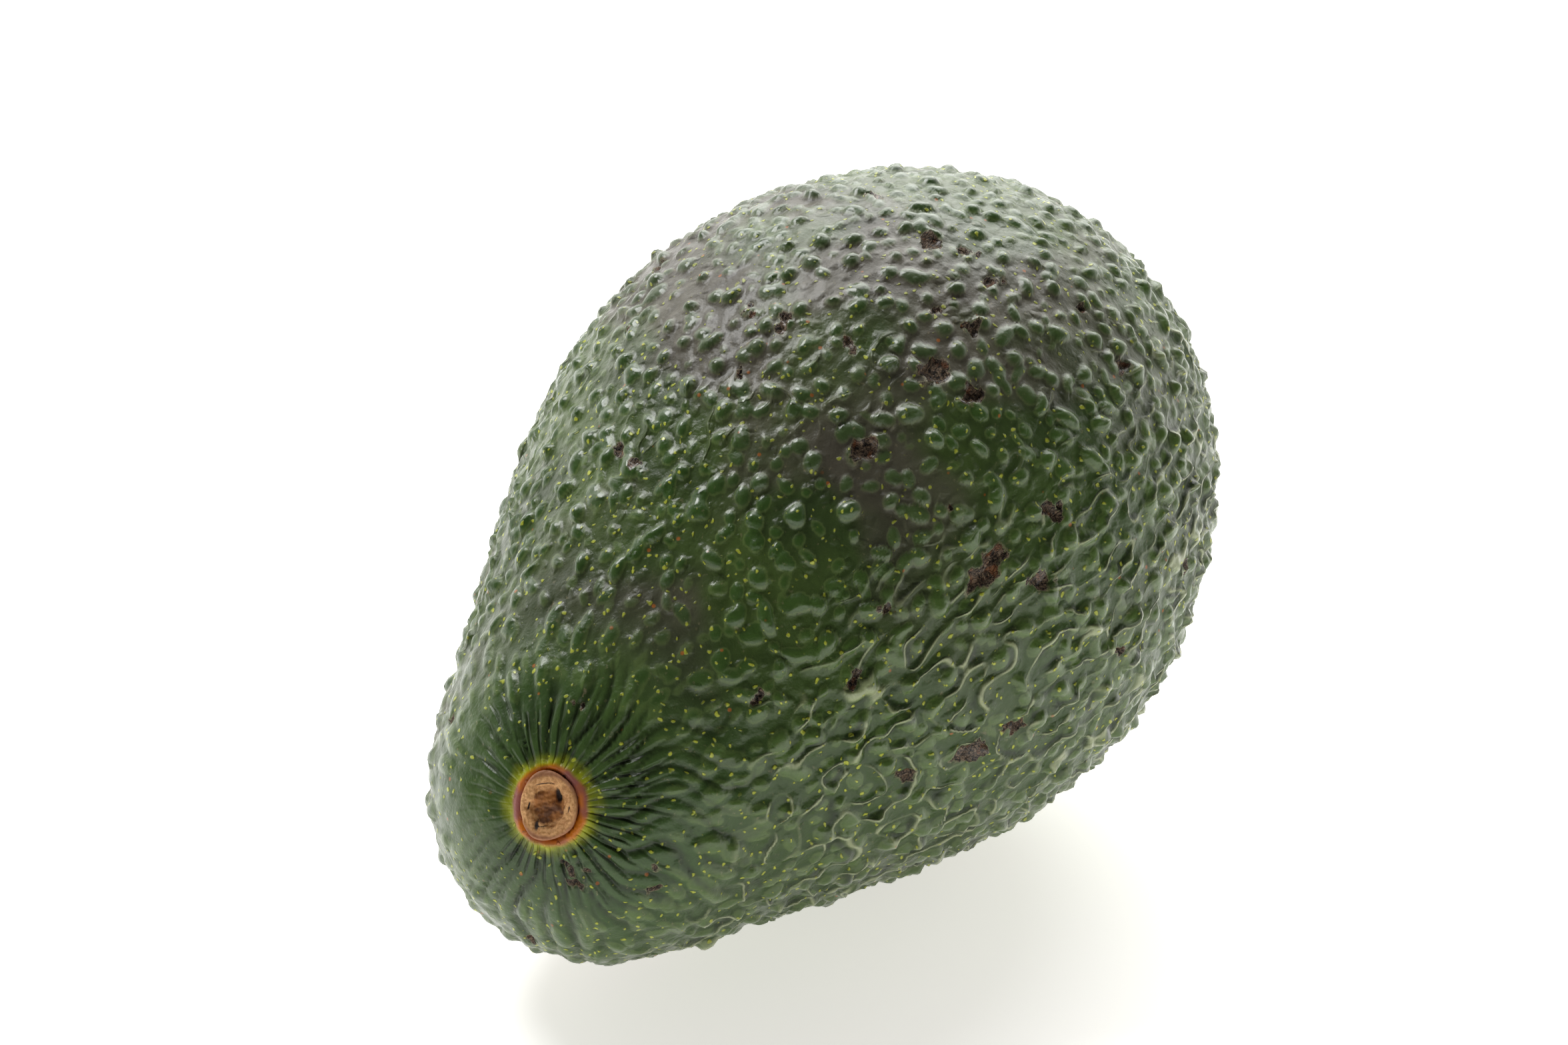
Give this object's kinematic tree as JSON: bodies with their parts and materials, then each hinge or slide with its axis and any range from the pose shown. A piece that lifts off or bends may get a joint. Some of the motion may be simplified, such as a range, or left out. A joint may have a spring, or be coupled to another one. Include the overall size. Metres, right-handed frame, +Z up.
{
  "type": "avocado",
  "caption": "Whole pear-shaped avocado with pebbled skin, lying on its side, with a dried stem stub set in its neck end.",
  "frame": {"origin": "middle of the small flat spot that the fruit rests on, on the table", "axes": "+X level along the fruit from the stem end to the blossom end, +Z up from the table, +Y completes a right-handed frame"},
  "size_m": [0.1033, 0.0732, 0.0728],
  "materials": {
    "skin": "satin, waxy",
    "stalk": "dry, matt"
  },
  "bodies": {
    "root": {"fruit": "skin", "stem_button": "stalk"}
  },
  "joints": []
}
